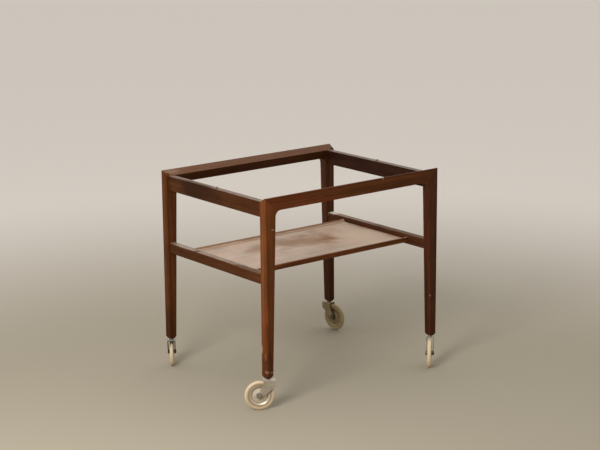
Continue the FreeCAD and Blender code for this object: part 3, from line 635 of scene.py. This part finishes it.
# Wooden pieces and how each looks. The darker tones and lower levels of some pieces are partly darker
# wood and partly painted shade, the faces that look to the inside are darkened as painted shade, and the
# tops are paled as bleached wood and a painted sheen.
TIMBER = {
    "long_rail_front": dict(grain="X", tones=LEG_TONES, level=0.80, slope=0.34,
                            inside=(0, 1, 0), inside_shade=0.5),
    "long_rail_back": dict(grain="X", tones=LEG_TONES, level=0.70, slope=0.34,
                           inside=(0, -1, 0), inside_shade=0.42),
    "leg_front_left": dict(grain="Z", tones=LEG_TONES, level=1.12),
    "leg_front_right": dict(grain="Z", tones=DARK_TONES, level=1.08,
                            inside=(-1, 0, 0), inside_shade=0.9),
    "leg_back_left": dict(grain="Z", tones=LEG_TONES, level=0.72, redness=0.1,
                          inside=(0.707, -0.707, 0), inside_shade=0.45),
    "leg_back_right": dict(grain="Z", tones=DARK_TONES, level=1.08, redness=0.2),
    "end_rail_left": dict(grain="Y", tones=LEG_TONES, level=0.5, gloss=0.4, faded_and_sheen=0.5, soft=FULLY_SOFT,
                          inside=(1, 0, 0), inside_shade=0.7),
    "end_rail_right": dict(grain="Y", tones=DARK_TONES, level=0.68, gloss=0.4, faded_and_sheen=0.4,
                           inside=(-1, 0, 0), inside_shade=0.55),
    "stretcher_left": dict(grain="Y", tones=LEG_TONES, level=0.54, gloss=0.5, faded_and_sheen=0.7, redness=0.0),
    "stretcher_right": dict(grain="Y", tones=DARK_TONES, level=1.1, gloss=0.3, faded_and_sheen=0.5, redness=0.2,
                            inside=(-1, 0, 0), inside_shade=0.85),
    "shelf_lip_front": dict(grain="X", tones=LEG_TONES, level=0.95, faded_and_sheen=0.4,
                            slope=0.6, slope_tint=WARM),
    "shelf_lip_back": dict(grain="X", tones=LEG_TONES, level=1.0, faded_and_sheen=0.1,
                           slope=0.6, slope_tint=WARM),
    "shelf_panel": dict(grain="X", tones=SHELF_TONES_AND_SHEEN, gloss=0.3, specular=0.3, redness=0.15,
                        soft=FULLY_SOFT),
}

# Marks on the wood: tint, centre, reach and share
MARKS = {
    "long_rail_front": [
        (SCUFF_AND_HIGHLIGHT, (97, -231, 557), (4, 4, 3), 0.3),
    ],
    "long_rail_back": [
        (SCUFF_AND_HIGHLIGHT, (291, 221, 551), (5, 8, 5), 0.4),
        (FADED_AND_SHEEN, (-268, 222, 553), (30, 9, 9), 0.5),
    ],
    "leg_front_left": [
        (SHADE, (-290, -225, 95), (30, 30, 75), 0.55),
        (SCUFF_AND_HIGHLIGHT, (-273, -232, 477), (7, 3, 1.2), 0.45),
        (GRAZE, (-294, -231, 104), (8, 9, 5), 0.5),
        (GRAZE, (-295, -226, 146), (3, 5, 14), 0.22),
        (SCUFF_AND_HIGHLIGHT, (-280, -232, 101), (3, 3, 2.0), 0.4),
        (SCUFF_AND_HIGHLIGHT, (-295, -211, 158), (3, 3, 13), 0.5),
    ],
    "leg_front_right": [
        (SCUFF_AND_HIGHLIGHT, (273, -232, 204), (2.5, 3, 2.5), 0.35),
    ],
    "leg_back_left": [
        (SHADE, (-290, 225, 115), (30, 30, 80), 0.4),
    ],
    "leg_back_right": [
        (SCUFF_AND_HIGHLIGHT, (293, 222, 550), (4, 8, 6), 0.4),
    ],
    "end_rail_left": [
        (SHADE, (-288, 80, 527), (12, 130, 60), 0.8),
    ],
    "stretcher_left": [
        # Painted highlight on the back of the top
        (DUST_AND_HIGHLIGHT, (-284, 150, 361), (11, 60, 4), 0.12),
        (SHADE, (-284, 86, 361), (10, 11, 4), 0.7),
        # Painted shade on the front of the top
        (UMBER_SHADE, (-284, -150, 361), (13, 90, 4), 0.9),
    ],
    "stretcher_right": [
        # Painted highlight and sheen on the back of the top, fading forward
        (SCUFF_AND_HIGHLIGHT, (281, 190, 361), (14, 26, 5), 0.95),
        (FADED_AND_SHEEN, (281, 140, 361), (10, 40, 4), 0.6),
        (SCUFF_AND_HIGHLIGHT, (271, 213, 355), (3, 8, 7), 0.6),
        # Painted shade on the front of the top
        (UMBER_SHADE, (281, -130, 361), (16, 190, 6), 0.75),
        # Painted highlight on the back of the top
        (DUST_AND_HIGHLIGHT, (281, 198, 361), (14, 20, 5), 0.9),
    ],
    "shelf_lip_front": [
        # Painted light along the foot of the lip, where shade falls
        (PALE_LIGHT, (0, -130, 347), (2000, 7, 5), 0.8),
        (SCUFF_AND_HIGHLIGHT, (263, -137, 354), (8, 5, 3), 0.5),
    ],
    "shelf_lip_back": [
        # Painted light along the foot of the lip, where shade falls
        (PALE_LIGHT, (0, 130, 347), (2000, 6, 4), 0.7),
        (SCUFF_AND_HIGHLIGHT, (268, 136, 354), (7, 7, 5), 0.8),
    ],
    "shelf_panel": [
        # Painted sheen on the right of the shelf
        (PALE_LIGHT, (190, -20, 346.5), (140, 190, 9), 0.9),
        (STAIN, (30, 46, 346.5), (165, 100, 9), 0.72),
        (STAIN, (104, 12, 346.5), (32, 28, 6), 0.9),
        (STAIN, (-132, 36, 346.5), (50, 34, 6), 0.3),
        (STAIN, (84, -14, 346.5), (32, 28, 6), 0.7),
        (STAIN, (124, 38, 346.5), (32, 28, 6), 0.7),
        (SCUFF_AND_HIGHLIGHT, (110, 64, 346.5), (7, 6, 3), 0.5),
        # Painted highlight at the back right corner of the shelf
        (SCUFF_AND_HIGHLIGHT, (266, 124, 346.5), (11, 12, 5), 0.9),
    ],
}

# Edge rounding, and the pieces of which only the long edges need it
WOOD_EDGE = 0.5
ROUNDED = ("leg_", "long_rail_")
LONG_EDGE = 100.0

# Hidden wood, which stays as it is in CAD
HIDDEN_WOOD = ("corner_splines", "end_rail_dowels", "stretcher_dowels", "lip_dowels")
HIDDEN_SEED = 30
HIDDEN_SPECULAR = 0.3


def make_wood():
    for seed, (node, looks) in enumerate(TIMBER.items(), start=1):
        bm = softened(node, WOOD_EDGE, shortest=LONG_EDGE if node.startswith(ROUNDED) else 0.0)
        wear(bm, looks["grain"])
        stand_in(node, bm, wood(node, seed, marks=MARKS.get(node, ()), **looks))
    hidden = wood("dowel", HIDDEN_SEED, "Y", DOWEL_TONES, specular=HIDDEN_SPECULAR)
    for node in HIDDEN_WOOD:
        dress(node, hidden)


# Casters: colours of the fork, the discs and the tyre, and how pale the fork's top is, from a dusting and
# a painted highlight. The back casters are darker partly as painted shade.
CASTERS = {
    "front_left": (NICKEL, toned(NICKEL, 1.45), CREAM, 0.6),
    "front_right": (toned(NICKEL, 0.8), toned(NICKEL, 1.16), toned(CREAM, 1.08), 0.4),
    # Dark fork: grimy, and painted shade
    "back_left": (SOOT_AND_SHADE, NICKEL, CREAM, 0.6),
    # Darker and browner all over: dirtier, and painted shade
    "back_right": (toned(RUST_AND_SHADE, 1.4, 1.45, 1.65), toned(RUST_AND_SHADE, 1.45), OLIVE_AND_SHADE, 0.25),
}
# How dark the discs' valleys are: grimy, and painted shade
VALLEY_GRIME_AND_SHADE = 0.42
RIVET_LEVEL = 0.46

# Finishes: roughness and how metallic
FORK_FINISH = (0.45, 0.6)
DISC_FINISH = (0.45, 0.4)
RIVET_FINISH = (0.35, 0.7)
BRASS_FINISH = (0.35, 0.6)
STEEL_FINISH = (0.4, 0.9)

# Edge rounding of the metal
PIN_EDGE = 0.3
FORK_EDGE = 0.45
AXLE_EDGE = 0.8
BUSH_EDGE = 0.4
FINE_STEPS = 3


def make_metal_and_rubber():
    brass = metal("dull_brass", BRASS, BRASS_FINISH)
    steel = metal("plain_steel", STEEL, STEEL_FINISH)
    for pin in ("tray_pin_left", "tray_pin_right"):
        stand_in(pin, softened(pin, PIN_EDGE), brass)
    for corner, (fork, disc, tyre, dust_and_highlight) in CASTERS.items():
        plate = metal(corner + "_plate", fork, FORK_FINISH, corner, dust_and_highlight=dust_and_highlight)
        pressed = metal(corner + "_disc", disc, DISC_FINISH, corner, valley=VALLEY_GRIME_AND_SHADE)
        rivet = metal(corner + "_rivet", toned(disc, RIVET_LEVEL), RIVET_FINISH)
        cream = rubber(corner + "_rubber", tyre, corner)
        stand_in(corner + "_fork", softened(corner + "_fork", FORK_EDGE, FINE_STEPS), plate)
        for part in ("outer_disc", "inner_disc"):
            stand_in(f"{corner}_{part}", turned(corner, disc_profile(corner, part)), pressed)
        stand_in(corner + "_axle", softened(corner + "_axle", AXLE_EDGE, FINE_STEPS), rivet)
        stand_in(corner + "_hub_bush", softened(corner + "_hub_bush", BUSH_EDGE), rivet)
        stand_in(corner + "_tyre", turned(corner, tyre_profile()), cream)
        for part in ("socket", "stem", "washer", "grip_ring"):
            dress(f"{corner}_{part}", steel)


# Floor, which pales with the distance from a spot in front of the table
FLOOR_RADIUS = 12.0
FLOOR_SIDES = 96
FLOOR_ROUGHNESS = 0.9
FLOOR_COLOUR = (0.365, 0.330, 0.258)
FAR_COLOUR = (0.85, 0.81, 0.76)
NEAR_SPOT = (-0.5, -0.63, 0.0)
FAR_START = (1.1, 3.2)

# Light: a bright backdrop and ceiling, a dim room and one lamp
SKY_COLOUR = (0.92, 0.88, 0.83)
ROOM_COLOUR = (0.17, 0.16, 0.15)
BACKDROP_WAY = (0.6, 0.76, 0.25)
BACKDROP_START = (-0.5, 0.6)
CEILING_START = (0.45, 0.9)
CEILING = 0.8
LAMP_PLACE = Vector((-1.95, -0.95, 1.45))
LAMP_AIM = Vector((-0.1, -0.1, 0.35))
LAMP_SIZE = 0.9
LAMP_POWER = 40.0
LAMP_COLOUR = (1.0, 0.96, 0.9)


def make_floor():
    mesh = bpy.data.meshes.new("floor")
    bm = bmesh.new()
    bmesh.ops.create_circle(bm, cap_ends=True, radius=FLOOR_RADIUS, segments=FLOOR_SIDES)
    bm.to_mesh(mesh)
    bm.free()
    floor = bpy.data.objects.new("floor", mesh)
    bpy.context.scene.collection.objects.link(floor)
    material, tree, shader = new_material("pale_floor", Roughness=FLOOR_ROUGHNESS)
    place = put(tree, "TexCoord").outputs["Object"]
    away = vector_maths(tree, "DISTANCE", place, NEAR_SPOT, "Value")
    colour = blended(tree, between(tree, away, *FAR_START), FLOOR_COLOUR, FAR_COLOUR)
    tree.links.new(colour, shader.inputs["Base Color"])
    mesh.materials.append(material)


def make_lamp():
    data = bpy.data.lights.new("key", "AREA")
    data.shape = "DISK"
    data.size = LAMP_SIZE
    data.energy = LAMP_POWER
    data.color = LAMP_COLOUR
    lamp = bpy.data.objects.new("key", data)
    lamp.location = LAMP_PLACE
    lamp.rotation_mode = "QUATERNION"
    lamp.rotation_quaternion = (LAMP_AIM - LAMP_PLACE).to_track_quat("-Z", "Y")
    bpy.context.scene.collection.objects.link(lamp)


def make_light():
    """A bright backdrop and ceiling, a dim room on the camera's side and one soft lamp from the left."""
    world = bpy.data.worlds.new("world")
    world.use_nodes = True
    tree = world.node_tree
    background = tree.nodes["Background"]
    way = put(tree, "TexCoord").outputs["Generated"]
    behind = vector_maths(tree, "DOT_PRODUCT", way, BACKDROP_WAY, "Value")
    height = put(tree, "SeparateXYZ", {0: way}).outputs["Z"]
    above = scaled(tree, between(tree, height, *CEILING_START), CEILING)
    share = maths(tree, "MAXIMUM", between(tree, behind, *BACKDROP_START), above)
    tree.links.new(blended(tree, share, ROOM_COLOUR, SKY_COLOUR), background.inputs["Color"])
    bpy.context.scene.world = world
    make_lamp()


make_camera()
make_floor()
make_light()
make_wood()
make_metal_and_rubber()
bpy.context.scene.view_settings.view_transform = "Standard"
